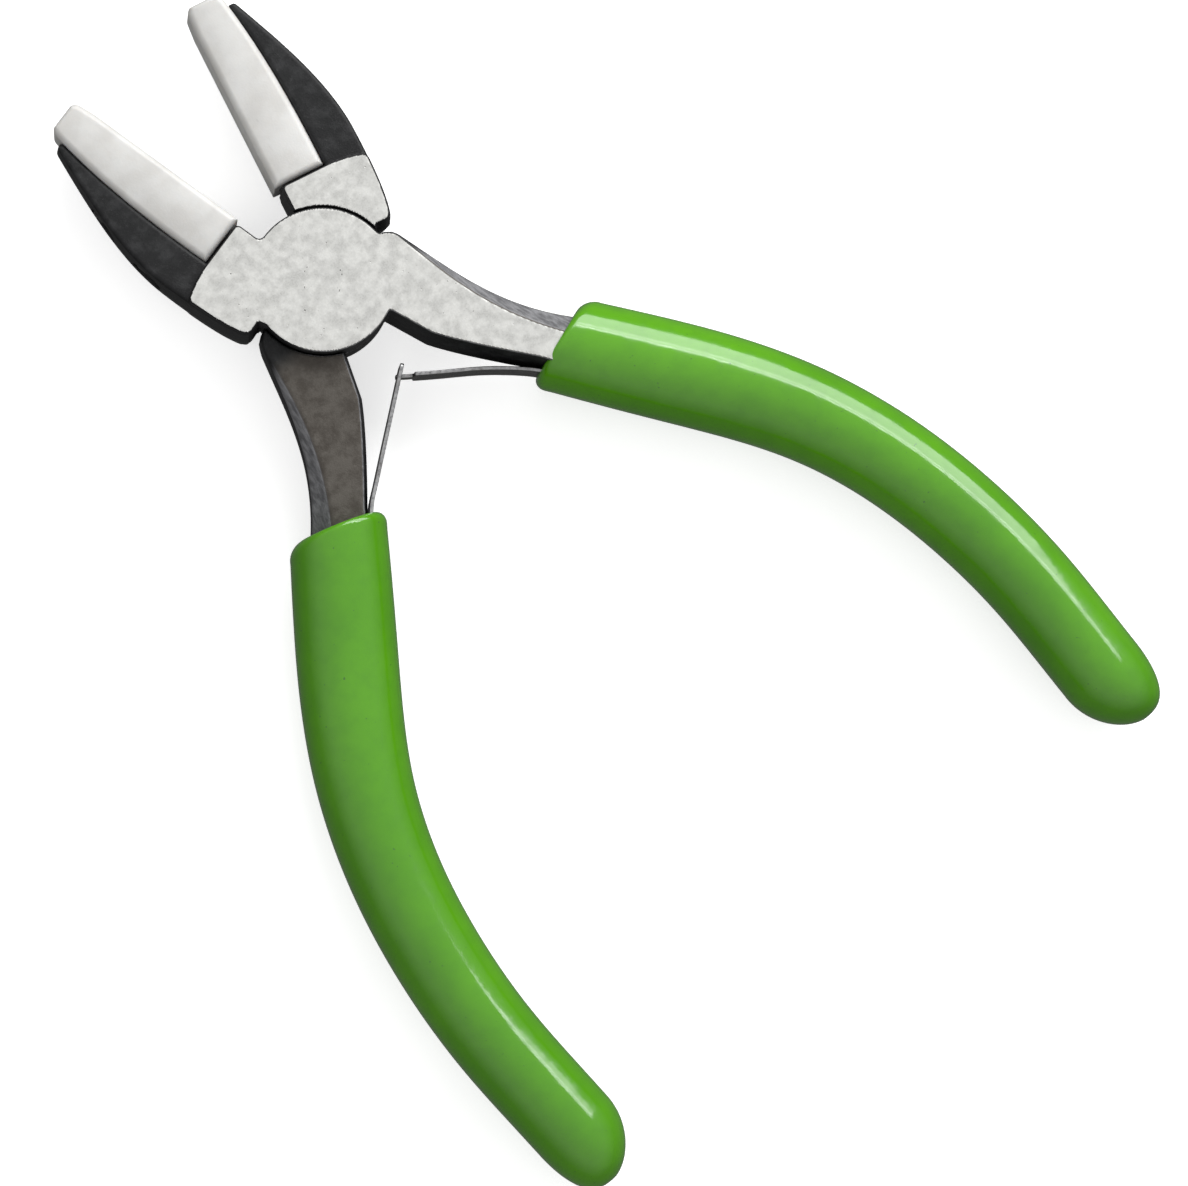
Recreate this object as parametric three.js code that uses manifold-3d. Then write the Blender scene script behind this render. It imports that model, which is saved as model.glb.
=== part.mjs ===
// Flat nose pliers with nylon jaw pads, for jewellery making: two identical forged halves in a lap joint,
// a flush joint rivet, a screwed-on nylon pad on each jaw, an interlocking pair of leaf springs between the
// tangs, and a dipped vinyl sleeve on each handle.
//
// Millimetres. The joint axis is Z, +Y points to the jaw tips, and z = 0 is the joint's ground back face.
// Every half is drawn closed, as the front half: jaw on the -X side, handle on the +X side, disc on top.

import * as THREE from "three";
import { mergeVertices } from "three/addons/utils/BufferGeometryUtils.js";
import Module from "manifold-3d";

const wasm = await Module();
wasm.setup();

// ---- Driving dimensions -------------------------------------------------------------------------------

const HALF_OPENING = THREE.MathUtils.degToRad(13.3); // each half's turn from closed, springs relaxed
const GAP = 0.3; // clearance between neighbouring solids

const JOINT = {
  thickness: 9.6, // between the two ground faces
  discRadius: 7.8,
  pocketRadius: 8.15, // clears the other half's disc and its rounded pocket
  faceGap: 0.2, // between the two discs
  rivetRadius: 2.2,
  rivetHoleRadius: 2.3,
  segments: 72,
};
const MIDDLE = JOINT.thickness / 2;

const JAW = {
  innerX: -0.65, // steel stands back from the centre line, so that only the pads meet
  shoulderY: 11.0, // the pad's heel butts against this shoulder
  tipY: 31.3,
  seatHeelX: -5.9,
  seatTipX: -4.6,
  tipThickness: 0.9,
  flankHeel: 3.9, // half the steel's height behind the pad, at the shoulder
  flankTip: 2.7, // and at the tip
};

const PAD = {
  faceX: -0.05,
  heelY: 11.3,
  tipY: 33.1,
  tipBackX: -3.7,
  halfHeightHeel: 4.2,
  halfHeightTip: 3.3,
};

const SCREW = {
  positionsY: [15.6, 22.6],
  shankRadius: 1.0,
  headRadius: 1.7,
  headLength: 1.2,
  headBelowBack: 0.35, // head's face below the jaw's curved back
  tipX: -2.75, // the shank ends inside the pad
  pointLength: 0.5,
  slotLength: 2.2,
  slotWidth: 0.5,
  slotDepth: 0.6,
  segments: 24,
};

// Tang, from the disc to the sleeve's mouth: points on its inner and outer edges, the height of its
// underside, and the width of the chamfers beside its ground top.
const TANG = [
  { inner: [0.9, -6.2], outer: [6.6, -2.0], under: 1.8, innerBevel: 0.3, outerBevel: 0.1 },
  { inner: [1.4, -8.3], outer: [9.1, -3.4], under: 1.8, innerBevel: 0.5, outerBevel: 0.1 },
  { inner: [1.55, -10.6], outer: [9.35, -6.6], under: 1.8, innerBevel: 0.5, outerBevel: 0.4 },
  { inner: [2.1, -13.6], outer: [9.4, -10.4], under: 1.9, innerBevel: 0.5, outerBevel: 0.9 },
  { inner: [3.2, -16.4], outer: [9.75, -14.2], under: 2.0, innerBevel: 0.5, outerBevel: 1.3 },
  { inner: [4.6, -19.4], outer: [10.9, -18.2], under: 2.1, innerBevel: 0.5, outerBevel: 1.7 },
  { inner: [6.7, -23.9], outer: [13.0, -23.6], under: 2.2, innerBevel: 0.6, outerBevel: 1.9 },
];
const TANG_STATIONS = 18;
const UNDER_BEVEL = 0.8; // chamfers beside the tang's and the core's underside

// Centre line of the handle inside its sleeve, from the mouth to the end.
const HANDLE_LINE = [
  [10.15, -24.4], [13.6, -32.0], [17.3, -41.0], [20.2, -50.0], [21.7, -60.0],
  [21.6, -70.0], [20.0, -81.0], [17.9, -89.5], [15.4, -99.4],
];
const CORE = {
  mouthHalfWidth: 3.1,
  settleStations: 5, // over these, the tang's section settles to the sleeve's middle
  bevel: 0.9,
  tipScale: 0.6,
  halfWidth: 2.8,
  halfWidthEnd: 2.2,
  halfHeight: 2.8,
  halfHeightEnd: 2.2,
  endShare: 0.93, // of the handle line's length
  stations: 22,
};

const SLEEVE = {
  mouthInner: [4.6, -25.0],
  mouthOuter: [15.4, -23.8],
  halfWidth: [5.3, 5.5, 5.15, 4.95, 4.85, 4.8], // evenly along the handle line
  halfHeight: 5.5,
  lip: 0.9, // rounding of the mouth
  noseLength: 7.0,
  noseBluntness: 1.7,
  stations: 30,
  segments: 28,
};

const LEAF = {
  root: [5.85, -23.4], // where the free blade starts, just outside the sleeve
  angle: THREE.MathUtils.degToRad(129.3), // of the relaxed blade
  lengthToCrossing: 13.9,
  thickness: 0.5,
  width: 5.0,
  tongueWidth: 2.0,
  tongueShoulder: 1.6, // full width ends this far before the crossing
  tongueBeyond: 1.2,
  slotWidth: 3.0,
  slotLength: 2.0,
  slotBeyond: 1.5,
  footLine: [[6.05, -23.85], [7.75, -27.2], [9.95, -31.7], [11.85, -36.2]],
  rivetAt: 0.82, // share of the foot's length
  rivetRadius: 0.8,
  rivetHeadRadius: 1.4,
  rivetHeadHeight: 0.45,
  rivetHeadTaper: 0.35,
  rivetSeat: 0.1, // head stands this far off the foot
  rivetReach: 2.4,
  rivetClearance: 0.2, // hole in the foot
};

// ---- Solids -------------------------------------------------------------------------------------------

/** A closed three.js geometry as a manifold-3d solid. */
function solid(geometry) {
  const bare = new THREE.BufferGeometry();
  bare.setAttribute("position", geometry.getAttribute("position"));
  if (geometry.index) bare.setIndex(geometry.index);
  const merged = mergeVertices(bare, 1e-4);
  return new wasm.Manifold(
    new wasm.Mesh({
      numProp: 3,
      vertProperties: new Float32Array(merged.getAttribute("position").array),
      triVerts: new Uint32Array(merged.index.array),
    }),
  );
}

/** A manifold-3d solid as a three.js geometry. */
function geometryOf(body) {
  const mesh = body.getMesh();
  const geometry = new THREE.BufferGeometry();
  geometry.setAttribute("position", new THREE.BufferAttribute(mesh.vertProperties, 3));
  geometry.setIndex(new THREE.BufferAttribute(mesh.triVerts, 1));
  geometry.computeVertexNormals();
  return geometry;
}

/** An outline in XY, raised from one height to another. */
function prism(shape, low, high, curveSegments = 14) {
  const options = { depth: high - low, bevelEnabled: false, curveSegments };
  return solid(new THREE.ExtrudeGeometry(shape, options).translate(0, 0, low));
}

/** A cylinder about the joint axis. */
function jointDisc(radius, low, high) {
  const geometry = new THREE.CylinderGeometry(radius, radius, high - low, JOINT.segments);
  return solid(geometry.rotateX(Math.PI / 2).translate(0, 0, (low + high) / 2));
}

/** A closed skin over rings of points with flat ends, each ring counter-clockwise seen from the last. */
function loft(rings) {
  const count = rings[0].length;
  const last = rings.length - 1;
  const positions = rings.flat().flatMap((p) => [p.x, p.y, p.z]);
  const index = [];
  for (let r = 0; r < last; r += 1) {
    for (let k = 0; k < count; k += 1) {
      const a = r * count + k;
      const b = r * count + ((k + 1) % count);
      index.push(a, b, b + count, a, b + count, a + count);
    }
  }
  for (let k = 1; k < count - 1; k += 1) {
    index.push(0, k + 1, k);
    index.push(last * count, last * count + k, last * count + k + 1);
  }
  const geometry = new THREE.BufferGeometry();
  geometry.setAttribute("position", new THREE.Float32BufferAttribute(positions, 3));
  geometry.setIndex(index);
  return solid(geometry);
}

/** A strip of even thickness along a line in XY, standing up from one height to another. */
function strip(points, thickness, low, high) {
  const side = (sign) =>
    points.map((p, i) => {
      const before = points[Math.max(i - 1, 0)];
      const after = points[Math.min(i + 1, points.length - 1)];
      const along = after.clone().sub(before).normalize();
      return new THREE.Vector2(p.x - sign * along.y * thickness, p.y + sign * along.x * thickness);
    });
  return prism(new THREE.Shape([...side(-0.5), ...side(0.5).reverse()]), low, high);
}

const mix = (a, b, t) => a + (b - a) * t;

// ---- Handle line --------------------------------------------------------------------------------------

const planeCurve = (points) =>
  new THREE.CatmullRomCurve3(points.map(([x, y]) => new THREE.Vector3(x, y, 0)));
const handleLine = planeCurve(HANDLE_LINE);
const handleLength = handleLine.getLength();

/** A point beside the handle line: `share` along it, `across` to its outer side. */
function besideHandle(share, across, z) {
  const at = handleLine.getPointAt(share);
  const along = handleLine.getTangentAt(share);
  return new THREE.Vector3(at.x - along.y * across, at.y + along.x * across, z);
}

// ---- One half of the pliers ---------------------------------------------------------------------------

/** The curved back of the jaw, from its tip to the shoulder that stops on the other half's tang. */
function traceJawBack(shape) {
  shape.lineTo(JAW.seatTipX - JAW.tipThickness, JAW.tipY);
  shape.bezierCurveTo(-7.8, 25.8, -10.7, 19.4, -10.75, 13.2);
  shape.bezierCurveTo(-10.8, 9.8, -10.6, 5.6, -9.7, 3.2);
  shape.quadraticCurveTo(-9.2, 2.3, -8.0, 2.15);
}

function jawShape() {
  const shape = new THREE.Shape();
  shape.moveTo(JAW.innerX, 4.0);
  shape.lineTo(JAW.innerX, JAW.shoulderY);
  shape.lineTo(JAW.seatHeelX, JAW.shoulderY);
  shape.quadraticCurveTo(-6.1, 22.0, JAW.seatTipX, JAW.tipY);
  traceJawBack(shape);
  shape.lineTo(-4.0, 2.0);
  shape.closePath();
  return shape;
}

/** Everything outside a pair of planes that slope together from the jaw's heel to its tip. */
function beyondFlanks(halfHeel, halfTip, heelY, tipY) {
  const reach = 20;
  const above = new THREE.Shape([
    new THREE.Vector2(heelY, halfHeel),
    new THREE.Vector2(tipY + 4, mix(halfHeel, halfTip, (tipY + 4 - heelY) / (tipY - heelY))),
    new THREE.Vector2(tipY + 4, reach),
    new THREE.Vector2(heelY, reach),
  ]);
  const options = { depth: reach, bevelEnabled: false };
  // The wedge is drawn in YZ and raised along -X.
  const wedge = new THREE.ExtrudeGeometry(above, options)
    .rotateX(Math.PI / 2)
    .rotateZ(Math.PI / 2);
  const upper = solid(wedge).translate([-reach, 0, MIDDLE]);
  const lower = upper.mirror([0, 0, 1]).translate([0, 0, 2 * MIDDLE]);
  return upper.add(lower);
}

/** The jaw's steel, with its joint shoulder at full thickness. */
function jawSolid() {
  const jaw = prism(jawShape(), 0, JOINT.thickness);
  return jaw.subtract(beyondFlanks(JAW.flankHeel, JAW.flankTip, JAW.shoulderY, JAW.tipY));
}

/** One eight-sided section of the tang or core, between its inner and its outer edge. */
function barSection(inner, outer, low, high, innerBevel, outerBevel) {
  const width = inner.distanceTo(outer);
  const ring = [
    [innerBevel, high],
    [0, high - 1.2 * innerBevel - 0.3],
    [0, low + UNDER_BEVEL],
    [UNDER_BEVEL, low],
    [width - UNDER_BEVEL, low],
    [width, low + UNDER_BEVEL],
    [width, high - 1.1 * outerBevel],
    [width - outerBevel, high],
  ];
  return ring.map(([u, z]) => {
    const at = inner.clone().lerp(outer, u / width);
    return new THREE.Vector3(at.x, at.y, z);
  });
}

/** Sections of the tang and of the core that carries on from it, grown by `grow` all round. */
function handleSections(grow = 0) {
  const innerEdge = planeCurve(TANG.map((row) => row.inner));
  const outerEdge = planeCurve(TANG.map((row) => row.outer));
  const rowValue = (key, share) => {
    const place = share * (TANG.length - 1);
    const row = Math.min(Math.floor(place), TANG.length - 2);
    return mix(TANG[row][key], TANG[row + 1][key], place - row);
  };
  const sections = [];
  for (let i = 0; i <= TANG_STATIONS; i += 1) {
    const share = i / TANG_STATIONS;
    const inner = innerEdge.getPoint(share);
    const outer = outerEdge.getPoint(share);
    const across = outer.clone().sub(inner).normalize().multiplyScalar(grow);
    sections.push(
      barSection(
        inner.sub(across),
        outer.add(across),
        rowValue("under", share) - grow,
        JOINT.thickness + grow,
        rowValue("innerBevel", share),
        rowValue("outerBevel", share),
      ),
    );
  }
  const mouth = TANG[TANG.length - 1];
  for (let i = 1; i <= CORE.stations; i += 1) {
    const share = (CORE.endShare * i) / CORE.stations;
    const settle = Math.min(i / CORE.settleStations, 1);
    const isTip = i === CORE.stations;
    const tip = isTip ? CORE.tipScale : 1;
    const place = isTip ? share + grow / handleLength : share;
    const coreHalfWidth = mix(CORE.halfWidth, CORE.halfWidthEnd, share);
    const halfWidth = mix(CORE.mouthHalfWidth, coreHalfWidth, settle) * tip + grow;
    const halfHeight = mix(CORE.halfHeight, CORE.halfHeightEnd, share) * tip + grow;
    sections.push(
      barSection(
        besideHandle(place, -halfWidth, 0),
        besideHandle(place, halfWidth, 0),
        mix(mouth.under - grow, MIDDLE - halfHeight, settle),
        mix(JOINT.thickness + grow, MIDDLE + halfHeight, settle),
        mix(mouth.innerBevel, CORE.bevel, settle) * tip,
        mix(mouth.outerBevel, CORE.bevel, settle) * tip,
      ),
    );
  }
  return sections;
}

/**
 * A pan head screw through the jaw into the pad, lying along X with its head towards -X. With `grow` it is
 * the hole for that screw, whose counterbore is open at the jaw's back.
 */
function padScrew(y, grow = 0) {
  const faceX = jawBackX(y) + SCREW.headBelowBack;
  const mouthX = grow ? faceX - 3 : faceX;
  const seatX = faceX + SCREW.headLength + grow;
  const head = SCREW.headRadius + grow;
  const shank = SCREW.shankRadius + grow;
  const tipX = SCREW.tipX + grow;
  const profile = [
    new THREE.Vector2(0, mouthX),
    new THREE.Vector2(head, mouthX),
    new THREE.Vector2(head, seatX),
    new THREE.Vector2(shank, seatX),
    new THREE.Vector2(shank, tipX - SCREW.pointLength),
    new THREE.Vector2(shank - 0.8 * SCREW.pointLength, tipX),
    new THREE.Vector2(0, tipX),
  ];
  // A lathe turns about Y, and this turn lays that axis along +X.
  const turned = new THREE.LatheGeometry(profile, SCREW.segments).rotateZ(-Math.PI / 2);
  return solid(turned.translate(0, y, MIDDLE));
}

/** The jaw's back at a height up the jaw, read off its outline. */
function jawBackX(y) {
  const shape = new THREE.Shape();
  shape.moveTo(0, JAW.tipY);
  traceJawBack(shape);
  const points = shape.getPoints(40);
  const at = points.findIndex((p, i) => i > 1 && p.y <= y);
  const above = points[at - 1];
  const below = points[at];
  return mix(above.x, below.x, (above.y - y) / (above.y - below.y));
}

/** The cross slot in a screw's head. */
function screwSlot(y) {
  const { slotDepth, slotLength, slotWidth } = SCREW;
  const blade = (sizeY, sizeZ) =>
    solid(
      new THREE.BoxGeometry(2 * slotDepth, sizeY, sizeZ)
        .translate(jawBackX(y) + SCREW.headBelowBack, y, MIDDLE),
    );
  return blade(slotLength, slotWidth).add(blade(slotWidth, slotLength));
}

/** A rivet through the leaf's foot into the core, its head on the foot's outer face. */
function leafRivet(grow = 0) {
  const line = planeCurve(LEAF.footLine);
  const at = line.getPointAt(LEAF.rivetAt);
  const along = line.getTangentAt(LEAF.rivetAt);
  const away = new THREE.Vector3(along.y, -along.x, 0);
  const radius = LEAF.rivetRadius + grow;
  const headRadius = LEAF.rivetHeadRadius + grow;
  const headFrom = LEAF.thickness / 2 + LEAF.rivetSeat - grow / 3;
  const headTo = LEAF.thickness / 2 + LEAF.rivetSeat + LEAF.rivetHeadHeight + grow;
  const profile = [
    new THREE.Vector2(0, -LEAF.rivetReach - grow),
    new THREE.Vector2(radius, -LEAF.rivetReach - grow),
    new THREE.Vector2(radius, headFrom),
    new THREE.Vector2(headRadius, headFrom),
    new THREE.Vector2(headRadius - LEAF.rivetHeadTaper, headTo),
    new THREE.Vector2(0, headTo),
  ];
  const turn = new THREE.Quaternion().setFromUnitVectors(new THREE.Vector3(0, 1, 0), away);
  const geometry = new THREE.LatheGeometry(profile, 20).applyQuaternion(turn);
  return solid(geometry.translate(at.x, at.y, MIDDLE));
}

/** The pocket that the leaf's foot lies in, between the core and the sleeve, out through the mouth. */
function leafPocket() {
  const foot = planeCurve(LEAF.footLine).getPoints(8).map((p) => new THREE.Vector2(p.x, p.y));
  const beyondMouth = foot[0].clone().multiplyScalar(2).sub(foot[1]);
  const last = foot[foot.length - 1];
  last.add(last.clone().sub(foot[foot.length - 2]).setLength(GAP));
  const half = LEAF.width / 2 + GAP;
  return strip([beyondMouth, ...foot], LEAF.thickness + 2 * GAP, MIDDLE - half, MIDDLE + half);
}

/** Jaw, joint disc, tang and core in one forging, with a round pocket for the other half's disc. */
function forging() {
  const pocketTop = MIDDLE + JOINT.faceGap / 2;
  let body = jointDisc(JOINT.discRadius, pocketTop, JOINT.thickness)
    .add(jawSolid())
    .add(loft(handleSections()))
    .subtract(jointDisc(JOINT.pocketRadius, -1, pocketTop))
    .subtract(jointDisc(JOINT.rivetHoleRadius, -1, JOINT.thickness + 1));
  for (const y of SCREW.positionsY) {
    body = body.subtract(padScrew(y, GAP));
  }
  return body.subtract(leafRivet(GAP)).subtract(leafPocket());
}

/** The nylon pad that fills the jaw's inner side and reaches a little past the steel's tip. */
function pad() {
  const shape = new THREE.Shape();
  shape.moveTo(PAD.faceX, PAD.heelY);
  shape.lineTo(PAD.faceX, PAD.tipY - 0.4);
  shape.lineTo(PAD.faceX - 0.4, PAD.tipY);
  shape.lineTo(PAD.tipBackX, PAD.tipY);
  shape.lineTo(JAW.seatTipX + GAP, JAW.tipY);
  shape.quadraticCurveTo(-6.1 + GAP, 22.0, JAW.seatHeelX + GAP, PAD.heelY);
  shape.closePath();
  let body = prism(shape, 0, JOINT.thickness);
  body = body.subtract(
    beyondFlanks(PAD.halfHeightHeel, PAD.halfHeightTip, PAD.heelY - 1, PAD.tipY),
  );
  for (const y of SCREW.positionsY) {
    body = body.subtract(padScrew(y, GAP));
  }
  return body;
}

/** How far the sleeve's section has shrunk into its blunt nose. */
function sleeveScale(share) {
  const toEnd = (1 - share) * handleLength;
  const nose = Math.min(toEnd / SLEEVE.noseLength, 1);
  return (1 - (1 - nose) ** 2) ** (1 / SLEEVE.noseBluntness);
}

/** Half the sleeve's width, `share` along the handle line. */
function sleeveHalfWidth(share) {
  const place = share * (SLEEVE.halfWidth.length - 1);
  const row = Math.min(Math.floor(place), SLEEVE.halfWidth.length - 2);
  return mix(SLEEVE.halfWidth[row], SLEEVE.halfWidth[row + 1], place - row);
}

/** One ring of the sleeve's skin. */
function sleeveRing(share, scale) {
  return Array.from({ length: SLEEVE.segments }, (_, k) => {
    const turn = (2 * Math.PI * k) / SLEEVE.segments;
    const z = MIDDLE + Math.sin(turn) * SLEEVE.halfHeight * scale;
    return besideHandle(share, Math.cos(turn) * sleeveHalfWidth(share) * scale, z);
  });
}

/** A ring of the mouth, which lies in a plane of its own, `inside` past the mouth's edge. */
function mouthRing(scale, inside) {
  const inner = new THREE.Vector3(...SLEEVE.mouthInner, MIDDLE);
  const outer = new THREE.Vector3(...SLEEVE.mouthOuter, MIDDLE);
  return Array.from({ length: SLEEVE.segments }, (_, k) => {
    const turn = (2 * Math.PI * k) / SLEEVE.segments;
    const point = inner.clone().lerp(outer, (1 + Math.cos(turn) * scale) / 2);
    point.y -= inside;
    point.z += Math.sin(turn) * SLEEVE.halfHeight * scale;
    return point;
  });
}

/** The dipped sleeve, hollow for the tang, the core and the leaf's foot. */
function sleeve() {
  const lipScale = 1 - SLEEVE.lip / SLEEVE.halfHeight;
  const rings = [mouthRing(lipScale, 0), mouthRing(1, SLEEVE.lip)];
  for (let i = 1; i < SLEEVE.stations; i += 1) {
    // Stations crowd towards the nose, where the section changes fastest.
    const share = 0.04 + 0.96 * Math.sin((Math.PI / 2) * (i / SLEEVE.stations));
    rings.push(sleeveRing(share, sleeveScale(share)));
  }
  return loft(rings)
    .subtract(loft(handleSections(GAP)))
    .subtract(leafPocket())
    .subtract(leafRivet(GAP));
}

/**
 * A leaf spring: a foot beside the core, and a blade that meets the other half's blade at the crossing.
 * One blade narrows to a tongue, and the other has a slot that the tongue passes through.
 */
function leafSpring(hasTongue) {
  const { lengthToCrossing, width } = LEAF;
  const root = new THREE.Vector2(...LEAF.root);
  const direction = new THREE.Vector2(Math.cos(LEAF.angle), Math.sin(LEAF.angle));
  const bladePoint = (distance) => root.clone().addScaledVector(direction, distance);
  const foot = planeCurve(LEAF.footLine).getPoints(8).map((p) => new THREE.Vector2(p.x, p.y));
  const length = lengthToCrossing + (hasTongue ? LEAF.tongueBeyond : LEAF.slotBeyond);
  const line = [bladePoint(length), bladePoint(length / 2), root, ...foot];
  const low = MIDDLE - width / 2;
  const leaf = strip(line, LEAF.thickness, low, low + width);
  const cutter = (from, to, bottom, top) =>
    strip([bladePoint(from), bladePoint(to)], 3, MIDDLE + bottom, MIDDLE + top);
  if (hasTongue) {
    const shoulder = lengthToCrossing - LEAF.tongueShoulder;
    const tongue = LEAF.tongueWidth / 2;
    return leaf
      .subtract(cutter(length + 1, shoulder, tongue, width))
      .subtract(cutter(length + 1, shoulder, -width, -tongue))
      .subtract(leafRivet(LEAF.rivetClearance));
  }
  const slot = LEAF.slotWidth / 2;
  const reach = LEAF.slotLength / 2;
  return leaf
    .subtract(cutter(lengthToCrossing + reach, lengthToCrossing - reach, -slot, slot))
    .subtract(leafRivet(LEAF.rivetClearance));
}

// ---- Materials ----------------------------------------------------------------------------------------

const finish = (color, roughness, metalness) =>
  new THREE.MeshStandardMaterial({ color, roughness, metalness });
const MATERIALS = {
  steel: finish(0xb9b9b3, 0.42, 1.0),
  springSteel: finish(0x6f7073, 0.35, 1.0),
  screwSteel: finish(0x3a3b3d, 0.45, 1.0),
  nylon: finish(0xe6e4df, 0.5, 0.0),
  vinyl: finish(0x62b22e, 0.22, 0.0),
};

function named(name, body, material) {
  const mesh = new THREE.Mesh(geometryOf(body), material);
  mesh.name = name;
  return mesh;
}

function half(side, hasTongue) {
  const group = new THREE.Group();
  group.add(named(`${side}_half_forging`, forging(), MATERIALS.steel));
  group.add(named(`${side}_nylon_pad`, pad(), MATERIALS.nylon));
  SCREW.positionsY.forEach((y, i) => {
    const screw = padScrew(y).subtract(screwSlot(y));
    group.add(named(`${side}_pad_screw_${i + 1}`, screw, MATERIALS.screwSteel));
  });
  group.add(named(`${side}_handle_sleeve`, sleeve(), MATERIALS.vinyl));
  group.add(named(`${side}_leaf_spring`, leafSpring(hasTongue), MATERIALS.springSteel));
  group.add(named(`${side}_leaf_rivet`, leafRivet(), MATERIALS.screwSteel));
  return group;
}

// ---- Assembly -----------------------------------------------------------------------------------------

const pliers = new THREE.Group();

const front = half("front", true);
front.rotation.z = HALF_OPENING;
pliers.add(front);

// The back half is the same half turned over about the centre line.
const back = half("back", false);
back.rotation.y = Math.PI;
back.position.z = JOINT.thickness;
const backOpen = new THREE.Group();
backOpen.rotation.z = -HALF_OPENING;
backOpen.add(back);
pliers.add(backOpen);

pliers.add(named("joint_rivet", jointDisc(JOINT.rivetRadius, 0, JOINT.thickness), MATERIALS.steel));

export default pliers;
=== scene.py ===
"""Looks of the flat nose pliers: two forged halves with ground joint faces and blackened jaws, nylon pads
held by screws, a flush joint rivet, two interlocking leaf springs and two dipped vinyl sleeves.

Every shape of a half is drawn closed, as the front half, in millimetres: jaw on the -X side, handle on the
+X side, joint axis at the origin, ground faces at z = 0 and z = THICKNESS. to_frame() opens a half and puts
it in the frame, in metres. The steel and nylon pieces are distance fields, negative inside, meshed on a fine
grid and settled onto their surface, so that every edge is rounded as it is on the real tool.
"""

import math

import bpy
import numpy as np
from mathutils import Matrix, Vector


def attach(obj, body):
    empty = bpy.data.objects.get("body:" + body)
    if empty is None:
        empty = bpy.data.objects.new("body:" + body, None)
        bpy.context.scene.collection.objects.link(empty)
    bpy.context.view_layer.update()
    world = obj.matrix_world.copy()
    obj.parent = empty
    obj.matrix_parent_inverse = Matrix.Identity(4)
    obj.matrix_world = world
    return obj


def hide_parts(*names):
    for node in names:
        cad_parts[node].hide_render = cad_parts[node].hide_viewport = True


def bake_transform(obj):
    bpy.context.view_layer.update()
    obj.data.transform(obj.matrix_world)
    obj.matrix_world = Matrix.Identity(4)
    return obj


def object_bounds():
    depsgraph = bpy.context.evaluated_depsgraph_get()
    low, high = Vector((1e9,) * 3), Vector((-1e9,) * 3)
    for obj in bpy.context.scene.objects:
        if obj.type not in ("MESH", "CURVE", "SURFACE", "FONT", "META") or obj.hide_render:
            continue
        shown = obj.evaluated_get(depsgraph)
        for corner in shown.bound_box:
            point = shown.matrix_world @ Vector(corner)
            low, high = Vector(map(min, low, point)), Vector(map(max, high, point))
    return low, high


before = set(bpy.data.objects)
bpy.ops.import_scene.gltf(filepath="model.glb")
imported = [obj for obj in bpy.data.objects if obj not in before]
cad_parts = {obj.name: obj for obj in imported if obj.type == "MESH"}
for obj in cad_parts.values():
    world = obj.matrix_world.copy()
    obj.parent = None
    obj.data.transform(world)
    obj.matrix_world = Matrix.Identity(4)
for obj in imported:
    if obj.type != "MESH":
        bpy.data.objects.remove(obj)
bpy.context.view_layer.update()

# ---- Dimensions, in millimetres -------------------------------------------------------------------------

MM = 0.001
HALF_OPENING = math.radians(13.3)
THICKNESS = 9.6
MIDDLE = THICKNESS / 2
BODY = {"front": "front_half", "back": "back_half"}

DISC_RADIUS = 7.8
POCKET_RADIUS = 7.97
DISC_FLOOR = MIDDLE + 0.1
RIVET_RADIUS = 2.2
RIVET_PROUD = 0.008  # its ground ends stand this far above the joint faces

JAW_INNER_X = -0.65
JAW_TIP_Y = 31.3
JAW_TIP_BACK_X = -5.6
JAW_DRAFT = 0.09  # slope of the jaw's back away from mid height
SEAT_HEEL_X = -5.9
SEAT_TIP_X = -4.6
FLANK_HEEL = 3.9  # half the jaw's height behind the pad, at the shoulder
FLANK_TIP = 2.7  # and at the tip
SHOULDER_Y = 11.0
SHOULDER_SET_BACK = 0.12
SHOULDER_CURL = 0.036  # how fast the shoulder falls away towards the jaw's back
SHOULDER_CURL_FROM = 5.8
BOSS_END_Y = 16.0  # the boss's outline is drawn this far, past the shoulder that cuts it

TANG_UNDERSIDE = 1.8
TANG_INNER_DRAFT = 0.17
TANG_OUTER_DRAFT = 0.06
CHAMFER_SLOPE = 1.1
STUB_END_Y = -27.2  # the visible steel ends just inside the sleeve

PAD_TIP_Y = 33.1
PAD_HEEL_Y = SHOULDER_Y + 0.2
PAD_FACE_X = -0.05
PAD_SEAT_GAP = 0.04
PAD_HALF_DEPTH = 2.8
PAD_CROWN = 0.3
PAD_HALF_HEIGHT_HEEL = 4.2
PAD_HALF_HEIGHT_TIP = 3.3

SCREWS_Y = (15.6, 22.6)
SCREW_SEAT_DEPTH = 1.6  # below the jaw's back
SCREW_HEAD_LENGTH = 1.25
SCREW_HEAD_RADIUS = 1.7
SCREW_HEAD_DOME = 0.1
SCREW_SEAT_GAP = 0.02
SCREW_SHANK_RADIUS = 1.0
SCREW_SHANK_IN_HEAD = 0.3
SCREW_TIP_X = -2.75
SCREW_HOLE_END_X = -2.6
SCREW_HOLE_RADIUS = 1.1
COUNTERBORE_RADIUS = 2.0
CROSS_HALF_WIDTH = 0.3
CROSS_HALF_LENGTH = 1.15
CROSS_DEPTH = 0.75
CROSS_TAPER = 0.25

SLEEVE_MOUTH_INNER = (4.7, -24.6)
SLEEVE_MOUTH_OUTER = (15.9, -23.6)
SLEEVE_HALF_HEIGHT = 5.5
SLEEVE_HALF_WIDTHS = (5.3, 5.5, 5.15, 4.95, 4.85, 4.8)
SLEEVE_LINE = (
    (13.6, -32.0), (17.3, -41.0), (20.2, -50.0), (21.7, -60.0),
    (21.6, -70.0), (20.0, -81.0), (17.8, -89.5), (15.1, -99.5),
)

LEAF_ROOT = np.array([5.85, -23.4])
LEAF_ANGLE = math.radians(129.3)
LEAF_TO_CROSSING = 13.9
LEAF_THICKNESS = 0.42
LEAF_HALF_WIDTH = 2.5

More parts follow.
